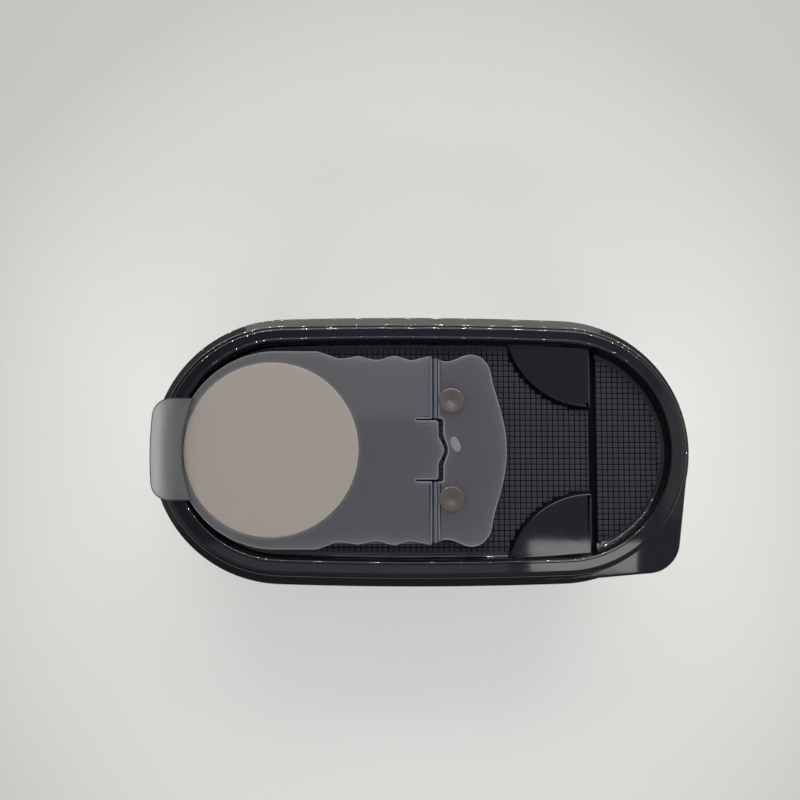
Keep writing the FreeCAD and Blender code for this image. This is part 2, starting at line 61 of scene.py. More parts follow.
# ------------------------------------------------------------------ mesh helpers
def tidy(me, smooth=True, recalc=True, merge=1e-7, angle=34.0):
    """Merges doubled points, turns the faces outward and keeps edges sharper than angle crisp."""
    bm = bmesh.new()
    bm.from_mesh(me)
    bmesh.ops.remove_doubles(bm, verts=bm.verts, dist=merge)
    bmesh.ops.dissolve_degenerate(bm, edges=bm.edges, dist=1e-7)
    if recalc:
        bmesh.ops.recalc_face_normals(bm, faces=bm.faces)
    for f in bm.faces:
        f.smooth = smooth
    for e in bm.edges:
        e.smooth = len(e.link_faces) != 2 or e.calc_face_angle(0.0) < math.radians(angle)
    bm.to_mesh(me)
    bm.free()
    if smooth:
        for p in me.polygons:
            if abs(p.normal.z) > 0.99999:
                p.use_smooth = False


class Build:
    """Collects points (mm) and faces, then makes one object in metres."""

    def __init__(self):
        self.v, self.f, self.marks = [], [], []

    def mark(self, index):
        """Faces added from here on take the material of this index."""
        self.marks.append((len(self.f), index))

    def loop(self, pts):
        i = len(self.v)
        self.v.extend([tuple(map(float, p)) for p in pts])
        return list(range(i, len(self.v)))

    def bridge(self, a, b, closed=True):
        n = len(a)
        for i in range(n if closed else n - 1):
            j = (i + 1) % n
            self.f.append((a[i], a[j], b[j], b[i]))

    def fill(self, *loops, up=True):
        """Flat cap over the loops, the first outside and the rest holes; up says which way it faces."""
        flat = [i for lp in loops for i in lp]
        polys = [[Vector((self.v[i][0], self.v[i][1], 0)) for i in lp] for lp in loops]
        for t in tessellate_polygon(polys):
            tri = [flat[k] for k in t]
            p, q, r = (np.array(self.v[k][:2]) for k in tri)
            area = (q[0] - p[0]) * (r[1] - p[1]) - (q[1] - p[1]) * (r[0] - p[0])
            if (area > 0) != up:
                tri.reverse()
            self.f.append(tuple(tri))

    def sweep(self, rings, close=False):
        """Bridges a list of equal loops one after another."""
        for a, b in zip(rings, rings[1:]):
            self.bridge(a, b)
        if close:
            self.bridge(rings[-1], rings[0])

    def make(self, name, mats, smooth=True, recalc=True, weighted=True):
        me = bpy.data.meshes.new(name)
        me.from_pydata([(x * MM, y * MM, z * MM) for x, y, z in self.v], [], self.f)
        for k, (start, index) in enumerate(self.marks):
            stop = self.marks[k + 1][0] if k + 1 < len(self.marks) else len(self.f)
            for i in range(start, stop):
                me.polygons[i].material_index = index
        tidy(me, smooth, recalc)
        ob = bpy.data.objects.new(name, me)
        bpy.context.scene.collection.objects.link(ob)
        for m in (mats if isinstance(mats, (list, tuple)) else [mats]):
            me.materials.append(m)
        if smooth and weighted:
            w = ob.modifiers.new("even_normals", "WEIGHTED_NORMAL")
            w.keep_sharp = True
            w.weight = 60
        return ob


def rounded(points, seg=6):
    """A polyline (x, y, radius) with each corner rounded; closed. Radius 0 keeps the point."""
    out = []
    n = len(points)
    for i in range(n):
        x, y, r = points[i]
        p = np.array([x, y], float)
        if r <= 0:
            out.append((x, y))
            continue
        a = np.array(points[i - 1][:2], float) - p
        b = np.array(points[(i + 1) % n][:2], float) - p
        la, lb = np.linalg.norm(a), np.linalg.norm(b)
        a, b = a / la, b / lb
        cosang = float(np.clip(a @ b, -1, 1))
        half = math.acos(cosang) / 2
        if half > math.pi / 2 - 1e-3:
            out.append((x, y))
            continue
        t = min(r / math.tan(half), la * 0.49, lb * 0.49)
        r = t * math.tan(half)
        mid = a + b
        mid = mid / np.linalg.norm(mid)
        c = p + mid * (r / math.sin(half))
        p1, p2 = p + a * t, p + b * t
        a1 = math.atan2(*(p1 - c)[::-1])
        a2 = math.atan2(*(p2 - c)[::-1])
        d = (a2 - a1 + math.pi) % (2 * math.pi) - math.pi
        for k in range(seg + 1):
            ang = a1 + d * k / seg
            out.append((c[0] + r * math.cos(ang), c[1] + r * math.sin(ang)))
    return out


def spline(points, sub=8):
    """Centripetal Catmull-Rom curve through open points."""
    p = [np.array(q, float) for q in points]
    p = [2 * p[0] - p[1]] + p + [2 * p[-1] - p[-2]]
    out = []
    for i in range(1, len(p) - 2):
        p0, p1, p2, p3 = p[i - 1:i + 3]
        t0 = 0.0
        t1 = t0 + math.sqrt(np.linalg.norm(p1 - p0))
        t2 = t1 + math.sqrt(np.linalg.norm(p2 - p1))
        t3 = t2 + math.sqrt(np.linalg.norm(p3 - p2))
        for k in range(sub):
            t = t1 + (t2 - t1) * k / sub
            a1 = (t1 - t) / (t1 - t0) * p0 + (t - t0) / (t1 - t0) * p1
            a2 = (t2 - t) / (t2 - t1) * p1 + (t - t1) / (t2 - t1) * p2
            a3 = (t3 - t) / (t3 - t2) * p2 + (t - t2) / (t3 - t2) * p3
            b1 = (t2 - t) / (t2 - t0) * a1 + (t - t0) / (t2 - t0) * a2
            b2 = (t3 - t) / (t3 - t1) * a2 + (t - t1) / (t3 - t1) * a3
            c = (t2 - t) / (t2 - t1) * b1 + (t - t1) / (t2 - t1) * b2
            out.append(tuple(c))
    out.append(tuple(p[-2]))
    return out


def clean(pts, tol=0.02):
    """Drops points closer together than tol; closed."""
    out = []
    for p in pts:
        if not out or math.dist(p, out[-1]) > tol:
            out.append(p)
    if math.dist(out[0], out[-1]) <= tol:
        out.pop()
    return out


def inset(pts, d):
    """A closed counter-clockwise loop moved inward by d along its mitred normals."""
    p = np.array(pts, float)
    e = np.roll(p, -1, 0) - p
    e /= np.linalg.norm(e, axis=1)[:, None]
    nrm = np.stack([-e[:, 1], e[:, 0]], 1)
    prev = np.roll(nrm, 1, 0)
    m = nrm + prev
    m /= np.maximum(np.linalg.norm(m, axis=1), 1e-6)[:, None]
    k = np.clip((m * nrm).sum(1), 0.5, 1)
    return p + m * (d / k)[:, None]


def ccw(pts):
    p = np.array(pts)
    q = np.roll(p, -1, 0)
    return pts if (p[:, 0] * q[:, 1] - q[:, 0] * p[:, 1]).sum() > 0 else list(reversed(pts))


def at(pts, z):
    return [(p[0], p[1], z) for p in pts]


def circle(cx, cy, r, n=96, z=None, start=0.0):
    q = [(cx + r * math.cos(start + 2 * math.pi * i / n), cy + r * math.sin(start + 2 * math.pi * i / n))
         for i in range(n)]
    return q if z is None else at(q, z)


def oval(d, n_end=72, n_side=48):
    """The lid's oval moved inward by d: the same number of points whatever d is."""
    b = B
    c = A - RE
    r1 = (c * c + b * b - RE * RE) / (2 * (b - RE))
    drop = r1 - b
    al = math.atan2(drop, c)
    out = []
    for i in range(n_end):
        t = -al + 2 * al * i / n_end
        out.append((c + (RE - d) * math.cos(t), (RE - d) * math.sin(t)))
    for i in range(n_side):
        t = al + (math.pi - 2 * al) * i / n_side
        out.append(((r1 - d) * math.cos(t), -drop + (r1 - d) * math.sin(t)))
    for i in range(n_end):
        t = math.pi - al + 2 * al * i / n_end
        out.append((-c + (RE - d) * math.cos(t), (RE - d) * math.sin(t)))
    for i in range(n_side):
        t = math.pi + al + (math.pi - 2 * al) * i / n_side
        out.append(((r1 - d) * math.cos(t), drop + (r1 - d) * math.sin(t)))
    return out


def profile_rings(b, prof):
    """Loops round the oval for a list of (inset, z)."""
    return [b.loop(at(oval(d), z)) for d, z in prof]


def turned(b, cx, cy, prof, n=96):
    """Loops round a vertical axis for a list of (radius, z); a radius of 0 is one point used n times."""
    rings = []
    for r, z in prof:
        rings.append(b.loop(circle(cx, cy, max(r, 1e-4), n, z)))
    return rings


def join(objs, name):
    bpy.ops.object.select_all(action="DESELECT")
    for o in objs:
        o.select_set(True)
    bpy.context.view_layer.objects.active = objs[0]
    bpy.ops.object.join()
    objs[0].name = name
    objs[0].data.name = name
    return objs[0]


# ------------------------------------------------------------------ materials
def material(name):
    m = bpy.data.materials.new(name)
    m.use_nodes = True
    nt = m.node_tree
    nt.nodes.clear()
    out = nt.nodes.new("ShaderNodeOutputMaterial")
    return m, nt, out


def node(nt, kind, **inputs):
    n = nt.nodes.new(kind)
    for k, v in inputs.items():
        n.inputs[k.replace("_", " ")].default_value = v
    return n


def obj_coord(nt):
    return nt.nodes.new("ShaderNodeTexCoord").outputs["Object"]


def noise(nt, co, scale, detail=3.0, rough=0.5, dist=0.0):
    n = nt.nodes.new("ShaderNodeTexNoise")
    n.inputs["Scale"].default_value = scale
    n.inputs["Detail"].default_value = detail
    n.inputs["Roughness"].default_value = rough
    n.inputs["Distortion"].default_value = dist
    nt.links.new(co, n.inputs["Vector"])
    return n.outputs["Fac"]


def ramp(nt, fac, stops):
    r = nt.nodes.new("ShaderNodeValToRGB")
    r.color_ramp.elements[0].position = stops[0][0]
    r.color_ramp.elements[0].color = stops[0][1]
    r.color_ramp.elements[1].position = stops[-1][0]
    r.color_ramp.elements[1].color = stops[-1][1]
    for pos, col in stops[1:-1]:
        e = r.color_ramp.elements.new(pos)
        e.color = col
    nt.links.new(fac, r.inputs["Fac"])
    return r.outputs["Color"]


def grey(v, a=1.0):
    return (v, v, v, a)


def remap(nt, fac, lo, hi, f0=0.0, f1=1.0):
    n = nt.nodes.new("ShaderNodeMapRange")
    n.inputs["From Min"].default_value = f0
    n.inputs["From Max"].default_value = f1
    n.inputs["To Min"].default_value = lo
    n.inputs["To Max"].default_value = hi
    nt.links.new(fac, n.inputs["Value"])
    return n.outputs["Result"]


def bump(nt, height, strength, distance, normal=None):
    b = nt.nodes.new("ShaderNodeBump")
    b.inputs["Strength"].default_value = strength
    b.inputs["Distance"].default_value = distance
    nt.links.new(height, b.inputs["Height"])
    if normal is not None:
        nt.links.new(normal, b.inputs["Normal"])
    return b.outputs["Normal"]


def gloss_black(name, rough=(0.025, 0.075), grain=0.0, base=((0.0030, 0.0031, 0.0042), (0.0042, 0.0043, 0.0058)),
                spec=0.5):
    """Polished black polypropylene: faint flow clouding, fine scuffs and dust in the roughness."""
    m, nt, out = material(name)
    co = obj_coord(nt)
    p = node(nt, "ShaderNodeBsdfPrincipled", IOR=1.49)
    p.inputs["Specular IOR Level"].default_value = spec
    cloud = noise(nt, co, 34.0, 4.0, 0.55, 0.4)
    col = ramp(nt, cloud, [(0.3, (*base[0], 1)), (0.7, (*base[1], 1))])
    nt.links.new(col, p.inputs["Base Color"])
    scuff = noise(nt, co, 420.0, 5.0, 0.65, 1.2)
    wide = noise(nt, co, 60.0, 3.0, 0.5)
    mix = nt.nodes.new("ShaderNodeMath")
    mix.operation = "MULTIPLY"
    nt.links.new(scuff, mix.inputs[0])
    nt.links.new(wide, mix.inputs[1])
    nt.links.new(remap(nt, mix.outputs[0], rough[0], rough[1], 0.12, 0.42), p.inputs["Roughness"])
    ripple = noise(nt, co, 55.0, 2.0, 0.4)
    nrm = bump(nt, ripple, 0.10, 0.0002)
    if grain:
        nrm = bump(nt, noise(nt, co, 2600.0, 3.0, 0.6), grain, 0.00006, nrm)
    nt.links.new(nrm, p.inputs["Normal"])
    nt.links.new(p.outputs["BSDF"], out.inputs["Surface"])
    return m


def frosted(name, tone=(0.27, 0.275, 0.305), through=0.72, glow=(0.86, 0.87, 0.87), rough=(0.42, 0.60),
            grain=0.25, spec=0.35, speckle=0.10, painted_backlight=None):
    """Translucent plastic with a spark-eroded skin: part scatters back, part lets light through from behind. The
    optional ramp along x multiplies the base colour: painted light, standing for light that shines up through the
    plate.
    """
    m, nt, out = material(name)
    co = obj_coord(nt)
    p = node(nt, "ShaderNodeBsdfPrincipled", IOR=1.49)
    p.inputs["Specular IOR Level"].default_value = spec
    cloud = noise(nt, co, 40.0, 4.0, 0.6, 0.3)
    fine = noise(nt, co, 900.0, 2.0, 0.6)
    lo = tuple(c * k for c, k in zip(tone, (0.99, 0.99, 0.985)))
    hi = tuple(min(1.0, c * k) for c, k in zip(tone, (1.01, 1.01, 1.015)))
    col = ramp(nt, cloud, [(0.3, (*lo, 1)), (0.7, (*hi, 1))])
    speck = ramp(nt, noise(nt, co, 2600.0, 2.0, 0.7), [(0.3, grey(1.0 - speckle)), (0.7, grey(1.0 + speckle))])
    mul = nt.nodes.new("ShaderNodeMix")
    mul.data_type, mul.blend_type = "RGBA", "MULTIPLY"
    mul.inputs["Factor"].default_value = 1.0
    nt.links.new(col, mul.inputs["A"])
    nt.links.new(speck, mul.inputs["B"])
    tint = mul
    if painted_backlight:
        split = nt.nodes.new("ShaderNodeSeparateXYZ")
        nt.links.new(co, split.inputs[0])
        along = remap(nt, split.outputs["X"], 0.0, 1.0, painted_backlight[0], painted_backlight[1])
        tint = nt.nodes.new("ShaderNodeMix")
        tint.data_type, tint.blend_type = "RGBA", "MULTIPLY"
        tint.inputs["Factor"].default_value = 1.0
        nt.links.new(mul.outputs["Result"], tint.inputs["A"])
        nt.links.new(ramp(nt, along, [(t, grey(g)) for t, g in painted_backlight[2]]), tint.inputs["B"])
    nt.links.new(tint.outputs["Result"], p.inputs["Base Color"])
    nt.links.new(remap(nt, fine, rough[0], rough[1], 0.3, 0.7), p.inputs["Roughness"])
    nrm = bump(nt, noise(nt, co, 2400.0, 3.0, 0.65), grain, 0.00005)
    nt.links.new(nrm, p.inputs["Normal"])
    t = nt.nodes.new("ShaderNodeBsdfTranslucent")
    t.inputs["Color"].default_value = (*glow, 1)
    mx = nt.nodes.new("ShaderNodeMixShader")
    mx.inputs["Fac"].default_value = through
    nt.links.new(p.outputs["BSDF"], mx.inputs[1])
    nt.links.new(t.outputs["BSDF"], mx.inputs[2])
    nt.links.new(mx.outputs["Shader"], out.inputs["Surface"])
    return m


M_LID = gloss_black("lid_polished_black")
# a lighter grey for the plates' rounded outer edges: a painted edge highlight
M_PAINTED_RIM_HIGHLIGHT = frosted("flap_painted_edge_highlight", tone=(0.30, 0.30, 0.315), through=0.55, rough=(0.4, 0.5), grain=0.1, spec=0.3)
# a dark grey for the shallow ring just inside each plate's edge: a painted shade line
M_SHADE = frosted("flap_painted_inner_shade", tone=(0.13, 0.13, 0.145), through=0.55, rough=(0.4, 0.5), spec=0.15)
M_GRAIN = gloss_black("lid_grained_floor", rough=(0.30, 0.40), grain=0.2, spec=0.13,
                      base=((0.0330, 0.0342, 0.0430), (0.0385, 0.0398, 0.0500)))
M_FLAP = frosted("flap_frosted_grey", tone=(0.262, 0.262, 0.290), spec=0.18)
M_ANCHOR = frosted("flap_anchor_grey", tone=(0.205, 0.205, 0.235), spec=0.16)
# the tab's base colour is lightest at its outer end and darkest over the rim: painted light, standing for floor light
# shining up through the tab
M_TAB = frosted("flap_tab_painted_backlight", tone=(0.955, 0.975, 1.0), through=0.55, glow=(0.99, 0.99, 0.985), spec=0.25,
               painted_backlight=(-0.0958, -0.0858, ((0.0, 0.62), (0.22, 0.57), (0.40, 0.36), (0.56, 0.25), (1.0, 0.16))))
# a darker, rougher black for the groove and the floor between the grain squares: painted shadow
M_PAINTED_SHADOW = gloss_black("lid_groove_shadow", rough=(0.45, 0.6), grain=0.3,
                       base=((0.0010, 0.0010, 0.0014), (0.0016, 0.0016, 0.0021)), spec=0.05)
# a near-black blue for the fold channel each side of the bead: painted shade in the fold
M_FOLD_SHADE = frosted("flap_fold_painted_shade", tone=(0.020, 0.022, 0.042), through=0.12, rough=(0.14, 0.22), grain=0.05, spec=0.5)
M_BEAD = frosted("flap_fold_bead", tone=(0.125, 0.13, 0.155), through=0.15, rough=(0.16, 0.24), grain=0.05, spec=0.6)
# the disc's warm cream is partly the natural plastic and partly painted glow: light coming up through the tub and the
# pour hole, set into its base colour
M_PLUG = frosted("plug_natural_satin_and_painted_glow", tone=(0.370, 0.338, 0.302), through=0.12, glow=(0.75, 0.7, 0.62),
                 rough=(0.38, 0.5), grain=0.2, spec=0.4)
# a near-black for the tab's rounded rim: a painted dark outline, shade at the edge of the translucent tab
M_TAB_EDGE_SHADE = frosted("flap_tab_painted_edge_shade", tone=(0.060, 0.062, 0.066), through=0.12, glow=(0.5, 0.5, 0.5), rough=(0.5, 0.6), spec=0.08)
# the studs' warm beige is partly the natural plastic and partly painted glow: light coming up through the lid's holes,
# set into their base colour
M_STUD = frosted("stud_natural_and_painted_glow", tone=(0.110, 0.094, 0.086), through=0.2, glow=(0.75, 0.7, 0.62),
                 rough=(0.30, 0.42), grain=0.1, spec=0.40)
M_TUB = frosted("tub_natural_translucent", tone=(0.74, 0.75, 0.74), through=0.55, glow=(0.86, 0.87, 0.86),
                rough=(0.24, 0.36), grain=0.12, spec=0.45)


# ------------------------------------------------------------------ lid
def profile(points, seg=6):
    """Rounded open profile: (inset, z, radius); both ends stay."""
    q = [(x, y, r) for x, y, r in points]
    res = rounded([(q[0][0], q[0][1], 0)] + q[1:-1] + [(q[-1][0], q[-1][1], 0)], seg)
    return clean_open(res)


def clean_open(pts, tol=0.004):
    out = [pts[0]]
    for p in pts[1:]:
        if math.dist(p, out[-1]) > tol:
            out.append(p)
    return out


DRAFT = math.tan(math.radians(12.0))
wall_foot = 9.0 + (RIM + 0.25 - FLOOR) * DRAFT
outer = profile([
    (5.4, LIP, 0), (-0.5, LIP, 0.22), (-0.5, LIP + 0.95, 0.55), (3.2, LIP + 1.9, 0.6), (3.2, RIM - 1.1, 0.75),
    (4.65, RIM - 1.02, 0.28), (4.65, RIM, 0.72), (8.05, RIM, 0.18), (8.3, RIM + 0.25, 0.14),
    (8.98, RIM + 0.25, 0.28), (wall_foot, FLOOR, 0.95), (12.0, FLOOR, 0)], 7)
under = profile([(12.0, UNDER, 0), (8.0, UNDER, 0.5), (8.0, RIM - 1.6, 0.3), (5.4, RIM - 1.6, 0.3),
                 (5.4, LIP, 0)], 4)
b = Build()
r_out = profile_rings(b, outer)
b.sweep(r_out)
r_und = profile_rings(b, under[:-1])
b.sweep(r_und)
b.bridge(r_und[-1], r_out[0])
floor_rim, under_rim = r_out[-1], r_und[0]


def stand(b, cx, cy, r_in, r_out_, top, n):
    """A hollow post that rises from the floor; returns its loop on the floor and its loop on the underside."""
    prof = rounded([(r_out_ + 0.5, FLOOR, 0), (r_out_, FLOOR, 0.4), (r_out_, top, 0.25), (r_in, top, 0.2),
                    (r_in, UNDER, 0.2), (r_in + 0.5, UNDER, 0)], 4)
    rings = turned(b, cx, cy, clean_open(prof), n)
    b.sweep(rings)
    return rings[0], rings[-1]


c_top, c_low = stand(b, HOLE_X, 0, HOLE_R, COLLAR_R - 0.1, COLLAR_TOP, 144)
p_top, p_low = stand(b, STUD_X, STUD_Y, 2.05, 5.4, FLAP_LOW, 40)
q_top, q_low = stand(b, STUD_X, -STUD_Y, 2.05, 5.4, FLAP_LOW, 40)
# the recess floor, seen between the grain squares, takes material 1, the painted shadow black
b.mark(1)
b.fill(floor_rim, c_top, p_top, q_top, up=True)
b.mark(0)
b.fill(under_rim, c_low, p_low, q_low, up=False)
lid = b.make("lid_moulding", [M_LID, M_PAINTED_SHADOW])

# groove across the recess, cut through the floor's fillets
gx0, gx1 = 60.45, 62.35
g = Build()
# the groove's cut faces take material 1, the painted shadow black
g.mark(1)
ring = rounded([(gx0, -36.3, 0.3), (gx1, -35.7, 0.3), (gx1, 35.7, 0.3), (gx0, 36.3, 0.3)], 3)
lo = g.loop(at(ring, FLOOR - 0.7))
hi = g.loop(at(ring, FLOOR + 1.2))
g.bridge(lo, hi)
g.fill(lo, up=False)
g.fill(hi, up=True)
cutter = g.make("groove_cutter", [M_LID, M_PAINTED_SHADOW], weighted=False)
mod = lid.modifiers.new("groove", "BOOLEAN")
mod.object, mod.operation, mod.solver = cutter, "DIFFERENCE", "EXACT"
bpy.context.view_layer.objects.active = lid
lid.modifiers.move(len(lid.modifiers) - 1, 0)
bpy.ops.object.modifier_apply(modifier="groove")
bpy.data.objects.remove(cutter)
tidy(lid.data, merge=1e-6)

# lift tab at the corner, moulded on to the lip
tab_xy = rounded([(97.9, -0.5, 0), (92.6, -43.5, 12.0), (44.0, -47.7, 0), (44.0, -40.0, 0), (84.0, -0.5, 0)], 24)
tab_xy = clean(tab_xy)
# finer points on the long edges, so that the tab can dish and follow the lip
fine = []
for i, p in enumerate(tab_xy):
    q = tab_xy[(i + 1) % len(tab_xy)]
    k = max(1, int(math.dist(p, q) / 2.5))
    fine += [(p[0] + (q[0] - p[0]) * j / k, p[1] + (q[1] - p[1]) * j / k) for j in range(k)]
tab_xy = ccw(fine)
b = Build()
zt, zb = LIP + 1.5, LIP
rings = []
for d, z in [(0.45, zb), (0.12, zb + 0.1), (0.0, zb + 0.35), (0.0, zt - 0.5), (0.10, zt - 0.16), (0.35, zt), (0.9, zt + 0.02)]:
    rings.append(b.loop(at(inset(tab_xy, d), z)))
b.sweep(rings)
b.fill(rings[0], up=False)
b.fill(rings[-1], up=True)
lift = b.make("lift_tab", M_LID)

# two fins: flat-topped quarter discs that run into the recess wall
fins = []
for sy in (1, -1):
    fx, fy, fr = 60.4, 46.3, 30.9
    pts = []
    dx = math.sqrt(fr * fr - (fy - 39.1) ** 2)
    a0, a1 = math.atan2(39.1 - fy, -dx), -math.pi / 2
    a0 = a0 if a0 < 0 else a0 - 2 * math.pi
    for i in range(41):
        t = a0 + (a1 - a0) * i / 40
        pts.append((fx + fr * math.cos(t), fy + fr * math.sin(t), 0))
    pts[-1] = (fx, fy - fr, 0.5)
    pts += [(fx, 37.1, 0), (fx - dx * 0.5, 38.3, 0)]
    xy = rounded(pts, 5)
    xy = ccw(clean([(x, y * sy) for x, y in xy]))
    b = Build()
    rings = []
    top = FLOOR + 2.2
    for d, z in [(-0.55, FLOOR - 0.3), (-0.45, FLOOR), (-0.12, FLOOR + 0.5), (0.0, FLOOR + 1.0), (0.05, top - 0.5), (0.18, top - 0.18),
                 (0.45, top - 0.03), (0.8, top), (1.6, top)]:
        rings.append(b.loop(at(inset(xy, d), z)))
    b.sweep(rings)
    b.fill(rings[0], up=False)
    b.fill(rings[-1], up=True)
    fins.append(b.make("fin", M_LID))

# grain of the recess floor: small raised squares on a 2 mm pitch, cut off along the edge of the field
PITCH, SQ, GH = 1.98, 1.72, 0.15


def inside_oval(x, y, d):
    c = A - RE
    r1 = (c * c + B * B - RE * RE) / (2 * (B - RE))
    drop = r1 - B
    if math.hypot(abs(x) - c, y) <= RE - d and abs(x) >= c:
        return True
    return abs(x) <= c + 2 and math.hypot(x, abs(y) + drop) <= r1 - d


def blocked(x, y, m):
    """True where the collar, a boss, a fin or the groove takes the floor."""
    if math.hypot(x - HOLE_X, y) < COLLAR_R + m:
        return True
    if min(math.hypot(x - STUD_X, y - STUD_Y), math.hypot(x - STUD_X, y + STUD_Y)) < 5.4 + m:
        return True
    if x < 60.4 + m and math.hypot(x - 60.4, abs(y) - 46.3) < 30.9 + m:
        return True
    return gx0 - m < x < gx1 + m


def clip_cell(cx, cy):
    """The square at cx, cy, drawn in until it clears the field's edge; None where nothing is left."""
    h = SQ / 2
    box = [cx - h, cy - h, cx + h, cy + h]
    ok = lambda x, y: inside_oval(x, y, 11.05) and not blocked(x, y, 0.42)
    for _ in range(14):
        bad = [(x, y) for x in (box[0], box[2]) for y in (box[1], box[3]) if not ok(x, y)]
        if not bad:
            return box
        s = 0.1
        if all(x == box[2] for x, y in bad) and len(bad) == 2:
            box[2] -= s
        elif all(x == box[0] for x, y in bad) and len(bad) == 2:
            box[0] += s
        elif all(y == box[3] for x, y in bad) and len(bad) == 2:
            box[3] -= s
        elif all(y == box[1] for x, y in bad) and len(bad) == 2:
            box[1] += s
        else:
            if len(bad) >= 3:
                box = [box[0] + s, box[1] + s, box[2] - s, box[3] - s]
            else:
                x, y = bad[0]
                if abs(x - cx) > abs(y - cy):
                    if x > cx:
                        box[2] -= s
                    else:
                        box[0] += s
                else:
                    if y > cy:
                        box[3] -= s
                    else:
                        box[1] += s
                if y > cy:
                    box[3] -= s
                else:
                    box[1] += s
        if box[2] - box[0] < 0.45 or box[3] - box[1] < 0.45:
            return None
    return None


b = Build()
nx, ny = int(A / PITCH), int(B / PITCH)
for i in range(-nx, nx + 1):
    for j in range(-ny, ny + 1):
        cell = clip_cell(i * PITCH + 0.4, j * PITCH)
        if cell is None:
            continue
        x0, y0, x1, y1 = cell
        k = 0.27
        z0, z1, z2 = FLOOR - 0.06, FLOOR + GH * 0.62, FLOOR + GH
        n0 = len(b.v)
        for (q, z) in ((0.0, z0), (0.07, z1), (k, z2)):
            b.v += [(x0 + q, y0 + q, z), (x1 - q, y0 + q, z), (x1 - q, y1 - q, z), (x0 + q, y1 - q, z)]
        b.f.append((n0 + 3, n0 + 2, n0 + 1, n0))
        for r in (0, 4):
            for s in range(4):
                t = (s + 1) % 4
                b.f.append((n0 + r + s, n0 + r + t, n0 + r + 4 + t, n0 + r + 4 + s))
        b.f.append((n0 + 8, n0 + 9, n0 + 10, n0 + 11))
grain = b.make("recess_floor_grain", M_GRAIN, smooth=False, recalc=False)

# ------------------------------------------------------------------ tub
TAN = math.tan(math.radians(1.6))
top_out, tub_h, wall, base_t = 6.1, 110.3, 1.4, 1.8
d_out = lambda z: top_out + (tub_h - z) * TAN
d_in = lambda z: top_out + wall + (tub_h - z) * TAN
b = Build()
prof = rounded([(40.0, 0.0, 0), (d_out(0), 0.0, 5.0), (d_out(tub_h), tub_h, 0.45), (d_in(tub_h), tub_h, 0.45),
                (d_in(base_t), base_t, 3.6), (40.0, base_t, 0)], 12)
prof = clean_open(prof)
# long walls get rows of their own
full = [prof[0]]
for q in prof[1:]:
    p = full[-1]
    k = max(1, int(abs(q[1] - p[1]) / 9.0))
    for j in range(1, k + 1):
        full.append((p[0] + (q[0] - p[0]) * j / k, p[1] + (q[1] - p[1]) * j / k))
full = [q for q in full if q[0] < 39.0]
full = [(22.0, 0.0)] + full + [(22.0, base_t)]
rings = profile_rings(b, full)
b.sweep(rings)
b.fill(rings[0], up=False)
b.fill(rings[-1], up=True)
tub = b.make("tub_moulding", M_TUB)

# ------------------------------------------------------------------ flap
LEFT_EDGE = [(-38.2, 35.1), (-36.0, 34.5), (-33.2, 33.5), (-30.5, 32.6), (-27.3, 32.8), (-23.2, 33.4),
             (-20.2, 32.7), (-17.4, 32.2), (-15.1, 32.4), (-12.4, 33.3), (-10.1, 33.6), (-7.6, 32.9),
             (-4.6, 32.1), (-1.1, 32.8), (1.4, 33.4), (2.85, 33.35)]
RIGHT_EDGE = [(5.15, 32.5), (6.6, 31.9), (8.3, 31.7), (11.3, 32.4), (14.3, 33.7), (17.3, 34.2),
              (20.3, 33.3), (22.8, 30.8), (24.2, 27.3), (24.9, 23.4), (26.4, 18.4), (27.8, 13.3),
              (28.9, 8.3), (29.5, 3.4), (29.6, 0.0)]


def plate(b, loops, low, high, r_top=0.3, r_low=0.2):
    """A flat plate with rounded edges: the first loop is its outline, the rest are holes given as plain points."""
    tops, lows = [], []
    for k, lp in enumerate(loops):
        pts = ccw(lp)
        sign = 1 if k == 0 else -1
        steps = []
        for j in range(5):
            t = math.pi / 2 * j / 4
            steps.append((r_low * (1 - math.sin(t)), low + r_low * (1 - math.cos(t))))
        for j in range(5):
            t = math.pi / 2 * j / 4
            steps.append((r_top * (1 - math.cos(t)), high - r_top * (1 - math.sin(t))))
        rings = [b.loop(at(inset(pts, sign * (r_low + 0.25)), low))]
        rings += [b.loop(at(inset(pts, sign * d), z)) for d, z in steps]
        rings.append(b.loop(at(inset(pts, sign * (r_top + 0.12)), high)))
        # the outline's rounded edge takes material 1, a painted edge highlight
        b.mark(1 if k == 0 else 0)
        b.sweep(rings)
        if k == 0:
            rings += [b.loop(at(inset(pts, r_top + 0.27), high - 0.04)), b.loop(at(inset(pts, r_top + 0.42), high - 0.04)),
                      b.loop(at(inset(pts, r_top + 0.55), high))]
            # the shallow ring just inside the outline takes material 2, a painted shade line
            b.mark(2)
            b.sweep(rings[-4:])
            b.mark(0)
        tops.append(rings[-1])
        lows.append(rings[0])
    b.fill(*tops, up=True)
    b.fill(*lows, up=False)


def nib(x0, rise, half, start):
    """The tongue's front edge from +start to -start in y: straight, swelling to a rounded nib in the middle."""
    out = []
    n = 56
    for i in range(n + 1):
        y = start - 2 * start * i / n
        t = min(1.0, abs(y) / half)
        out.append((x0 + rise * (0.5 + 0.5 * math.cos(math.pi * t)) ** 0.85, y))
    return out


left_up = spline(LEFT_EDGE, 8)
outline = [(x, y, 0) for x, y in left_up[:-1]]
outline.append((2.85, 33.35, 0.5))
outline += [(2.85, 11.2, 0.35), (-2.9, 11.2, 0.3), (-2.9, 10.5, 0.3), (5.2, 10.5, 1.3)]
outline += [(x, y, 0) for x, y in nib(5.2, 2.0, 5.4, 8.4)]
outline += [(5.2, -10.5, 1.3), (-2.9, -10.5, 0.3), (-2.9, -11.2, 0.3), (2.85, -11.2, 0.35), (2.85, -33.35, 0.5)]
outline += [(x, -y, 0) for x, y in reversed(left_up[:-1])]
lobe = []
for i in range(1, 120):
    t = -math.pi / 2 - math.pi * i / 120
    lobe.append((LOBE_X + LOBE_R * math.cos(t), LOBE_R * math.sin(t), 0))
outline += lobe
outline = ccw(clean(rounded(outline, 6)))
b = Build()
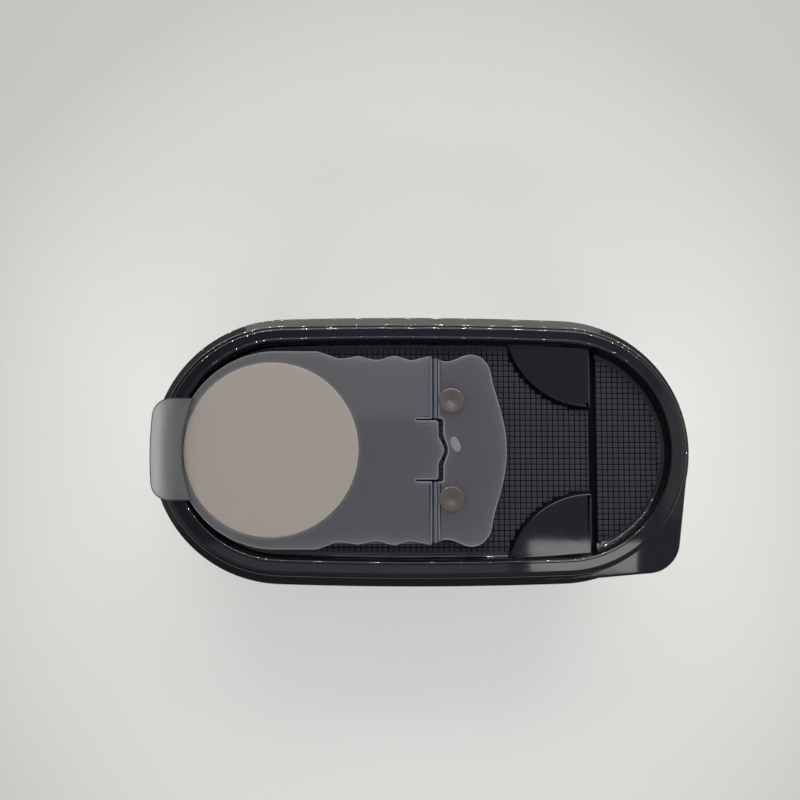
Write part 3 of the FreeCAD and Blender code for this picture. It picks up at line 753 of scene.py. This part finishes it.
# plug seat: a ledge r 31.25 wide at the top and a hole r 29.35 through it
NB = 144
seat = [(31.6, FLAP_TOP), (31.32, FLAP_TOP - 0.03), (31.22, FLAP_TOP - 0.14), (31.2, FLAP_TOP - 0.7),
        (29.5, FLAP_TOP - 0.72), (29.36, FLAP_TOP - 0.85), (29.36, FLAP_LOW + 0.15), (29.5, FLAP_LOW + 0.02),
        (29.9, FLAP_LOW)]
sr = turned(b, HOLE_X, 0, seat, NB)
b.sweep(sr)
steps = []
for j in range(5):
    t = math.pi / 2 * j / 4
    steps.append((0.2 * (1 - math.sin(t)), FLAP_LOW + 0.2 * (1 - math.cos(t))))
for j in range(5):
    t = math.pi / 2 * j / 4
    steps.append((0.32 * (1 - math.cos(t)), FLAP_TOP - 0.32 * (1 - math.sin(t))))
rings = [b.loop(at(inset(outline, 0.4), FLAP_LOW))] + [b.loop(at(inset(outline, d), z)) for d, z in steps] + \
    [b.loop(at(inset(outline, 0.44), FLAP_TOP))]
# the door's rounded outer edge takes material 1, a painted edge highlight
b.mark(1)
b.sweep(rings)
rings += [b.loop(at(inset(outline, 0.58), FLAP_TOP - 0.04)), b.loop(at(inset(outline, 0.74), FLAP_TOP - 0.04)),
          b.loop(at(inset(outline, 0.87), FLAP_TOP))]
# the shallow ring just inside the door's edge takes material 2, a painted shade line
b.mark(2)
b.sweep(rings[-4:])
b.mark(0)
b.fill(rings[-1], sr[0], up=True)
b.fill(rings[0], sr[-1], up=False)
door = b.make("flap_door_plate", [M_FLAP, M_PAINTED_RIM_HIGHLIGHT, M_SHADE])

# finger tab: a dished plate carried over the rim by a curved riser round the plug
TE, TH, TR, TB = 95.8, 18.0, 6.6, 0.5
T_LOW, T_TOP = 112.45, 113.85
RI = 31.35


def tab_x_out(y, d=0.0):
    """Outer edge of the tab at y, drawn in by d."""
    y = abs(y)
    te, th, tr = TE - d, TH - d, max(TR - d, 0.1)
    bulge = TB * (1 - (y / (TH - TR)) ** 2) if y < TH - TR else 0.0
    if y <= th - tr:
        return -(te + bulge)
    return -(te - tr + math.sqrt(max(0.0, tr * tr - (y - (th - tr)) ** 2)))


def tab_x_in(y, d=0.0):
    """Inner edge of the tab: a flat arc from the plug's seat out to the lobe's edge."""
    return -84.8 - d + y * y / 92.0


def tab_grid(d, nx_, ny_, low):
    """Grid points over the tab's plan, drawn in by d all round."""
    th = TH - d
    rows = []
    for j in range(ny_ + 1):
        s = -1 + 2 * j / ny_
        y = th * math.sin(s * math.pi / 2 * 0.985) / math.sin(math.pi / 2 * 0.985)
        x0, x1 = tab_x_in(y, d), tab_x_out(y, d)
        row = []
        for i in range(nx_ + 1):
            u = i / nx_
            u = 0.5 - 0.5 * math.cos(u * math.pi) if True else u
            row.append((x0 + (x1 - x0) * u, y))
        rows.append(row)
    return rows


def smooth(t):
    t = min(1.0, max(0.0, t))
    return t * t * (3 - 2 * t)


def tab_top(x, y):
    """Height of the tab's top skin: a soft scoop for the finger between raised edges."""
    e_side = (TH - abs(y)) / 5.0
    e_out = (x - tab_x_out(y * 0.98)) / 5.5
    e_in = (tab_x_in(min(abs(y), 17.9)) - x) / 4.0
    scoop = smooth(e_side) * smooth(e_out) * smooth(e_in * 0.8 + 0.15)
    return T_TOP - 0.35 * scoop


def tab_low(x, y):
    r = math.hypot(x - LOBE_X, y)
    return T_LOW


def border(rows):
    n, m = len(rows), len(rows[0])
    idx = [(0, i) for i in range(m)] + [(j, m - 1) for j in range(1, n)]
    idx += [(n - 1, i) for i in range(m - 2, -1, -1)] + [(j, 0) for j in range(n - 2, 0, -1)]
    return idx


b = Build()
NX, NY = 22, 44
top_rows = tab_grid(0.42, NX, NY, False)
low_rows = tab_grid(0.35, NX, NY, True)
ti = [b.loop([(x, y, tab_top(x, y)) for x, y in row]) for row in top_rows]
li = [b.loop([(x, y, T_LOW) for x, y in row]) for row in low_rows]
for rows_i in (ti, li):
    for j in range(NY):
        for i in range(NX):
            b.f.append((rows_i[j][i], rows_i[j][i + 1], rows_i[j + 1][i + 1], rows_i[j + 1][i]))
bi = border(top_rows)
rings = [[ti[j][i] for j, i in bi]]
for d, z in [(0.16, -0.06), (0.04, -0.2), (0.0, -0.42), (0.0, -0.95), (0.06, -1.2), (0.2, -1.36)]:
    rows = tab_grid(d, NX, NY, False)
    rings.append(b.loop([(rows[j][i][0], rows[j][i][1], T_TOP + z) for j, i in bi]))
rings.append([li[j][i] for j, i in bi])
# the tab's rounded rim takes material 1, the painted dark outline
b.mark(1)
b.sweep(rings)
b.mark(0)
tab = b.make("flap_finger_tab", [M_TAB, M_TAB_EDGE_SHADE])

# riser: wall between the lobe's edge and the plug, from the plate up into the tab
b = Build()
pts = []
th = TH - 2.2
a_out = math.asin(th / (LOBE_R - 0.05))
for i in range(41):
    y = th - 2 * th * i / 40
    pts.append((min(tab_x_in(y, 0.05), HOLE_X - math.sqrt(31.35 ** 2 - y * y)), y))
for i in range(41):
    t = math.pi + a_out - 2 * a_out * i / 40
    pts.append((LOBE_X + (LOBE_R - 0.05) * math.cos(t), (LOBE_R - 0.05) * math.sin(t)))
pts = ccw(clean(pts))
rings = [b.loop(at(inset(pts, d), z)) for d, z in
         [(0.25, FLAP_TOP - 0.9), (0.0, FLAP_TOP - 0.6), (0.0, T_LOW + 0.5), (0.25, T_LOW + 0.7)]]
b.sweep(rings)
b.fill(rings[0], up=False)
b.fill(rings[-1], up=True)
riser = b.make("flap_riser", M_FLAP)
door = join([door, tab, riser], "flap_door_moulding")

# anchor plate
right_up = spline(RIGHT_EDGE, 8)
outline = [(5.15, -32.5, 0.45)]
outline += [(x, -y, 0) for x, y in right_up[1:]]
outline += [(x, y, 0) for x, y in reversed(right_up[1:-1])]
outline += [(5.15, 32.5, 0.45), (5.15, 11.2, 0.3), (7.0, 11.2, 1.2)]
outline += [(x, y, 0) for x, y in nib(7.0, 1.65, 5.8, 8.6)]
outline += [(7.0, -11.2, 1.2), (5.15, -11.2, 0.3)]
outline = ccw(clean(rounded(outline, 6)))
b = Build()
plate(b, [outline, circle(STUD_X, STUD_Y, 2.1, 32), circle(STUD_X, -STUD_Y, 2.1, 32)], FLAP_LOW, FLAP_TOP, 0.32, 0.2)
anchor = b.make("flap_anchor_plate", [M_ANCHOR, M_PAINTED_RIM_HIGHLIGHT, M_SHADE])
# a low almond-shaped pad by the tongue, in a lighter grey than the anchor plate round it
b = Build()
ga = math.radians(113)
ring0 = []
for i in range(40):
    t = 2 * math.pi * i / 40
    ux, uy = 2.85 * math.cos(t), 1.55 * math.sin(t)
    ring0.append((ux * math.cos(ga) - uy * math.sin(ga), ux * math.sin(ga) + uy * math.cos(ga)))
rings = []
for s, z in [(1.0, -0.1), (1.0, 0.02), (0.9, 0.075), (0.7, 0.11), (0.4, 0.13)]:
    rings.append(b.loop([(11.3 + x * s, 2.0 + y * s, FLAP_TOP + z) for x, y in ring0]))
b.sweep(rings)
b.fill(rings[0], up=False)
b.fill(rings[-1], up=True)
M_LIGHT_PAD = frosted("light_almond_pad", tone=(0.235, 0.235, 0.25), through=0.1, rough=(0.25, 0.4), grain=0.2)
light_pad = b.make("light_almond_pad", M_LIGHT_PAD)
anchor = join([anchor, light_pad], "flap_anchor_moulding")

# fold line: a thin strip each side of the tongue, a shallow channel with a raised bead down its middle
webs = []
for sy in (1, -1):
    b = Build()
    NXW, NYW = 24, 12
    y0, y1 = 11.35, 32.75
    tops, lows = [], []
    for j in range(NYW + 1):
        y = (y0 + (y1 - y0) * j / NYW) * sy
        tr, lr = [], []
        for i in range(NXW + 1):
            u = i / NXW
            x = 2.8 + 2.4 * u
            s = (u - 0.5) * 2
            bead = math.exp(-((s - 0.12) / 0.36) ** 2)
            tr.append((x, y, 110.60 + 0.10 * abs(s) ** 6 + 0.20 * bead))
            lr.append((x, y, 110.20))
        tops.append(b.loop(tr))
        lows.append(b.loop(lr))
    # the channel faces take material 0, the painted fold shade; the bead down the middle takes material 1
    for i in range(NXW):
        b.mark(1 if 9 <= i <= 18 else 0)
        for j in range(NYW):
            b.f.append((tops[j][i], tops[j][i + 1], tops[j + 1][i + 1], tops[j + 1][i]))
    b.mark(0)
    for j in range(NYW):
        for i in range(NXW):
            b.f.append((lows[j][i], lows[j][i + 1], lows[j + 1][i + 1], lows[j + 1][i]))
    bi = border(tops)
    b.bridge([tops[j][i] for j, i in bi], [lows[j][i] for j, i in bi])
    webs.append(b.make("fold_strip", [M_FOLD_SHADE, M_BEAD], weighted=False))
web = join(webs, "fold_line_strips")

# plug: a satin disc with a soft edge, a faint ejector ring, and the skirt below
b = Build()
ZT = 111.1
prof = [(0.0, ZT), (6.0, ZT), (14.0, ZT), (22.0, ZT), (28.0, ZT), (30.2, ZT - 0.005), (30.7, ZT - 0.03),
        (30.92, ZT - 0.12), (31.0, ZT - 0.26), (31.0, ZT - 0.72), (30.9, ZT - 0.8), (29.2, ZT - 0.8), (29.15, ZT - 1.4),
        (28.5, ZT - 7.1), (28.35, ZT - 7.35), (28.1, ZT - 7.4), (27.5, ZT - 7.4), (27.3, ZT - 7.25), (28.0, ZT - 1.5),
        (27.6, ZT - 1.25), (27.0, ZT - 1.2), (14.0, ZT - 1.2), (0.0, ZT - 1.2)]
rings = turned(b, HOLE_X, 0, prof[1:-1], 144)
b.sweep(rings)
b.fill(rings[0], up=True)
b.fill(rings[-1], up=False)
# the disc's cream base colour is partly the natural plastic and partly painted glow from light below
plug = b.make("plug_disc", M_PLUG)
b = Build()
rings = turned(b, -72.6, -19.2, [(4.02, ZT - 0.05), (4.07, ZT + 0.015), (4.2, ZT + 0.035), (4.33, ZT + 0.015), (4.38, ZT - 0.05)], 64)
b.sweep(rings, close=True)
mark = b.make("ejector_ring", frosted("plug_ejector_ring", tone=(0.320, 0.290, 0.262), through=0.12, rough=(0.3, 0.4)))
plug = join([plug, mark], "plug_moulding")

# studs: cupped heads whose brims feather out on the plate
studs = []
for sy in (1, -1):
    b = Build()
    prof = [(0.2, 110.52), (0.5, 110.57), (0.9, 110.68), (1.3, 110.81), (1.7, 110.94), (2.1, 111.06), (2.6, 111.19),
            (3.1, 111.29), (3.6, 111.36), (4.0, 111.38), (4.3, 111.33), (4.5, 111.22), (4.58, 111.12), (4.6, 111.02),
            (4.4, 111.0), (2.0, 111.0), (2.0, 104.8), (2.5, 104.75),
            (2.6, 104.6), (2.55, 104.3), (1.6, 102.75), (1.4, 102.62), (0.3, 102.6)]
    rings = turned(b, STUD_X, STUD_Y * sy, prof, 96)
    # fine strokes that run out from the middle of the cup
    for k, ring_i in enumerate(rings[:10]):
        r = prof[k][0]
        for i, vi in enumerate(ring_i):
            t = 2 * math.pi * i / 96
            x, y, z = b.v[vi]
            w = 0.020 * math.cos(13 * t + sy) + 0.016 * math.cos(23 * t + 2.0) + 0.03 * math.cos(3 * t + 0.7 * sy)
            b.v[vi] = (x, y, z + w * math.exp(-((r - 1.6) / 1.5) ** 2))
    b.sweep(rings)
    b.fill(rings[0], up=True)
    b.fill(rings[-1], up=False)
    # the studs' warm tone is partly painted glow from light below
    studs.append(b.make("stud", M_STUD))
stud = join(studs, "anchor_stud_pair")

lid = join([lid, lift] + fins, "lid_moulding")

# ------------------------------------------------------------------ what stands for what
for piece, cad, body, slot in (
        (lid, "lid_shell", "lid", "lid_plastic"), (grain, None, "lid", "lid_plastic"),
        (tub, "container_tub", "container", "tub_plastic"),
        (door, "flap_door", "flap", "flap_plastic"), (anchor, "flap_anchor", "lid", "flap_plastic"),
        (plug, "pour_plug", "flap", "plug_plastic"), (stud, "anchor_studs", "lid", "plug_plastic")):
    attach(piece, body)
    if cad:
        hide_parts(cad)
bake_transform(web)
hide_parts("living_hinge_web")

# ------------------------------------------------------------------ stage
m, nt, out = material("pale_floor_painted_pool")
co = obj_coord(nt)
p = node(nt, "ShaderNodeBsdfPrincipled", IOR=1.45, Roughness=0.75)
p.inputs["Specular IOR Level"].default_value = 0.2
# the floor's colour is lightest near the middle and falls off outward: a painted pool of light
far = nt.nodes.new("ShaderNodeVectorMath")
far.operation = "LENGTH"
nt.links.new(co, far.inputs[0])
painted_light_pool = remap(nt, far.outputs["Value"], 0.0, 1.0, 0.0, 0.4)
cloud = ramp(nt, noise(nt, co, 3.0, 2.0), [(0.3, (0.985, 0.985, 0.985, 1)), (0.7, (1.0, 1.0, 1.0, 1))])
tone = ramp(nt, painted_light_pool, [(0.16, (0.93, 0.93, 0.905, 1)), (0.32, (0.895, 0.895, 0.865, 1)),
                       (0.42, (0.815, 0.82, 0.79, 1)), (0.60, (0.64, 0.65, 0.625, 1)), (1.0, (0.60, 0.61, 0.585, 1))])
both = nt.nodes.new("ShaderNodeMix")
both.data_type = "RGBA"
both.blend_type = "MULTIPLY"
both.inputs["Factor"].default_value = 1.0
nt.links.new(tone, both.inputs["A"])
nt.links.new(cloud, both.inputs["B"])
nt.links.new(both.outputs["Result"], p.inputs["Base Color"])
nt.links.new(p.outputs["BSDF"], out.inputs["Surface"])
me = bpy.data.meshes.new("floor")
S = 3.0
me.from_pydata([(-S, -S, -0.0002), (S, -S, -0.0002), (S, S, -0.0002), (-S, S, -0.0002)], [], [(0, 1, 2, 3)])
floor = bpy.data.objects.new("floor", me)
bpy.context.scene.collection.objects.link(floor)
me.materials.append(m)


# ------------------------------------------------------------------ light
def area(name, loc, look, size, size_y, power, color=(1, 1, 1), spread=180.0):
    d = bpy.data.lights.new(name, "AREA")
    d.shape = "RECTANGLE"
    d.size, d.size_y, d.energy, d.color = size, size_y, power, color
    d.spread = math.radians(spread)
    o = bpy.data.objects.new(name, d)
    o.location = loc
    o.rotation_euler = (Vector(look) - Vector(loc)).to_track_quat("-Z", "Y").to_euler()
    bpy.context.scene.collection.objects.link(o)
    return o


world = bpy.data.worlds.new("studio")
bpy.context.scene.world = world
world.use_nodes = True
wt = world.node_tree
bg = wt.nodes["Background"]
way = wt.nodes.new("ShaderNodeTexCoord").outputs["Generated"]
sep = wt.nodes.new("ShaderNodeSeparateXYZ")
wt.links.new(way, sep.inputs[0])
side = ramp(wt, remap(wt, sep.outputs["Y"], 0.0, 1.0, -1.0, 1.0),
            [(0.0, (0.15, 0.15, 0.15, 1)), (0.30, (0.24, 0.24, 0.235, 1)), (0.52, (0.50, 0.49, 0.475, 1)), (0.85, (0.82, 0.80, 0.76, 1))])
over = ramp(wt, remap(wt, sep.outputs["X"], 0.0, 1.0, -0.26, 0.26),
            [(0.0, (0.12, 0.12, 0.185, 1)), (0.45, (0.33, 0.33, 0.45, 1)), (1.0, (0.36, 0.36, 0.48, 1))])
top = wt.nodes.new("ShaderNodeMix")
top.data_type = "RGBA"
wt.links.new(over, top.inputs["B"])
wt.links.new(remap(wt, sep.outputs["Z"], 0.0, 1.0, 0.78, 0.93), top.inputs["Factor"])
wt.links.new(side, top.inputs["A"])
wt.links.new(top.outputs["Result"], bg.inputs["Color"])
bg.inputs["Strength"].default_value = 1.0

area("soft_top_edge", (0.04, 0.50, 0.62), (0, 0.06, 0.05), 0.6, 0.42, 1.9, (1.0, 0.985, 0.955))
area("soft_left", (-0.75, -0.05, 0.50), (0, 0, 0.05), 0.5, 0.8, 0.20, (1.0, 0.985, 0.96))
area("soft_right", (0.75, -0.05, 0.50), (0, 0, 0.05), 0.5, 0.8, 0.45, (1.0, 0.985, 0.96))
near = area("soft_near", (0.0, -0.62, 0.60), (0, -0.12, 0.0), 0.7, 0.4, 3.1, (1.0, 0.99, 0.97))
near.visible_glossy = False


def card(name, x0, x1, y0, y1, z, radiance):
    """A level card seen only in reflections."""
    w, h = x1 - x0, y1 - y0
    o = area(name, ((x0 + x1) / 2, (y0 + y1) / 2, z), ((x0 + x1) / 2, (y0 + y1) / 2 - 1e-4, 0), w, h,
             radiance * math.pi * w * h)
    o.rotation_euler = (0, 0, 0)
    o.visible_diffuse = False
    o.visible_transmission = False
    return o


card("card_bright", 0.140, 0.252, -0.101, -0.068, 0.75, 4.2)
card("card_lift", 0.186, 0.226, -0.132, -0.106, 0.75, 2.2)
card("card_dim", -0.50, 0.118, -0.165, -0.072, 0.75, 0.45)
card("card_right", 0.275, 0.60, -0.045, 0.26, 0.75, 0.30)
strip = area("edge_strip", (0.0, 0.66, 0.44), (0, 0, 0.11), 1.1, 0.07, 0.0)
strip.data.energy = 11.0 * math.pi * 1.1 * 0.07
strip.visible_diffuse = False
strip.visible_transmission = False
# a strip of small lamps beyond the far long side
LED_Y, LED_Z = 0.235, 0.235
for i in range(-17, 18):
    lamp = area("led_%02d" % (i + 17), (i * 0.0167 + 0.004, LED_Y, LED_Z), (i * 0.0167 + 0.004, 0, 0.112), 0.0035,
                0.0035, 0.06, (1, 1, 1))
    lamp.visible_diffuse = False
    lamp.visible_transmission = False

# ------------------------------------------------------------------ camera
cam_d = bpy.data.cameras.new("camera")
cam = bpy.data.objects.new("camera", cam_d)
bpy.context.scene.collection.objects.link(cam)
cam_d.sensor_width = 36.0
D = 350.0
cam_d.lens = 987.8 * 36 / 800
foot = (-18.42, -12.58)
cam.location = (foot[0] * MM, foot[1] * MM, (112.0 + D) * MM)
# aim so that the middle of the rim's plane lands at (424.0, 449.7) of the 800 x 800 frame
f_px = cam_d.lens / 36.0 * 800
want = Vector(((423.99 - 400) / f_px, -(449.69 - 400) / f_px, -1)).normalized()
to_mid = Vector((-foot[0], -foot[1], -D)).normalized()
rot = want.rotation_difference(to_mid)
roll = Matrix.Rotation(math.radians(0.068), 3, to_mid)
cam.rotation_mode = "QUATERNION"
cam.rotation_quaternion = (roll @ rot.to_matrix()).to_quaternion()
cam_d.clip_start, cam_d.clip_end = 0.01, 20.0
bpy.context.scene.camera = cam
bpy.context.scene.view_settings.view_transform = "Standard"
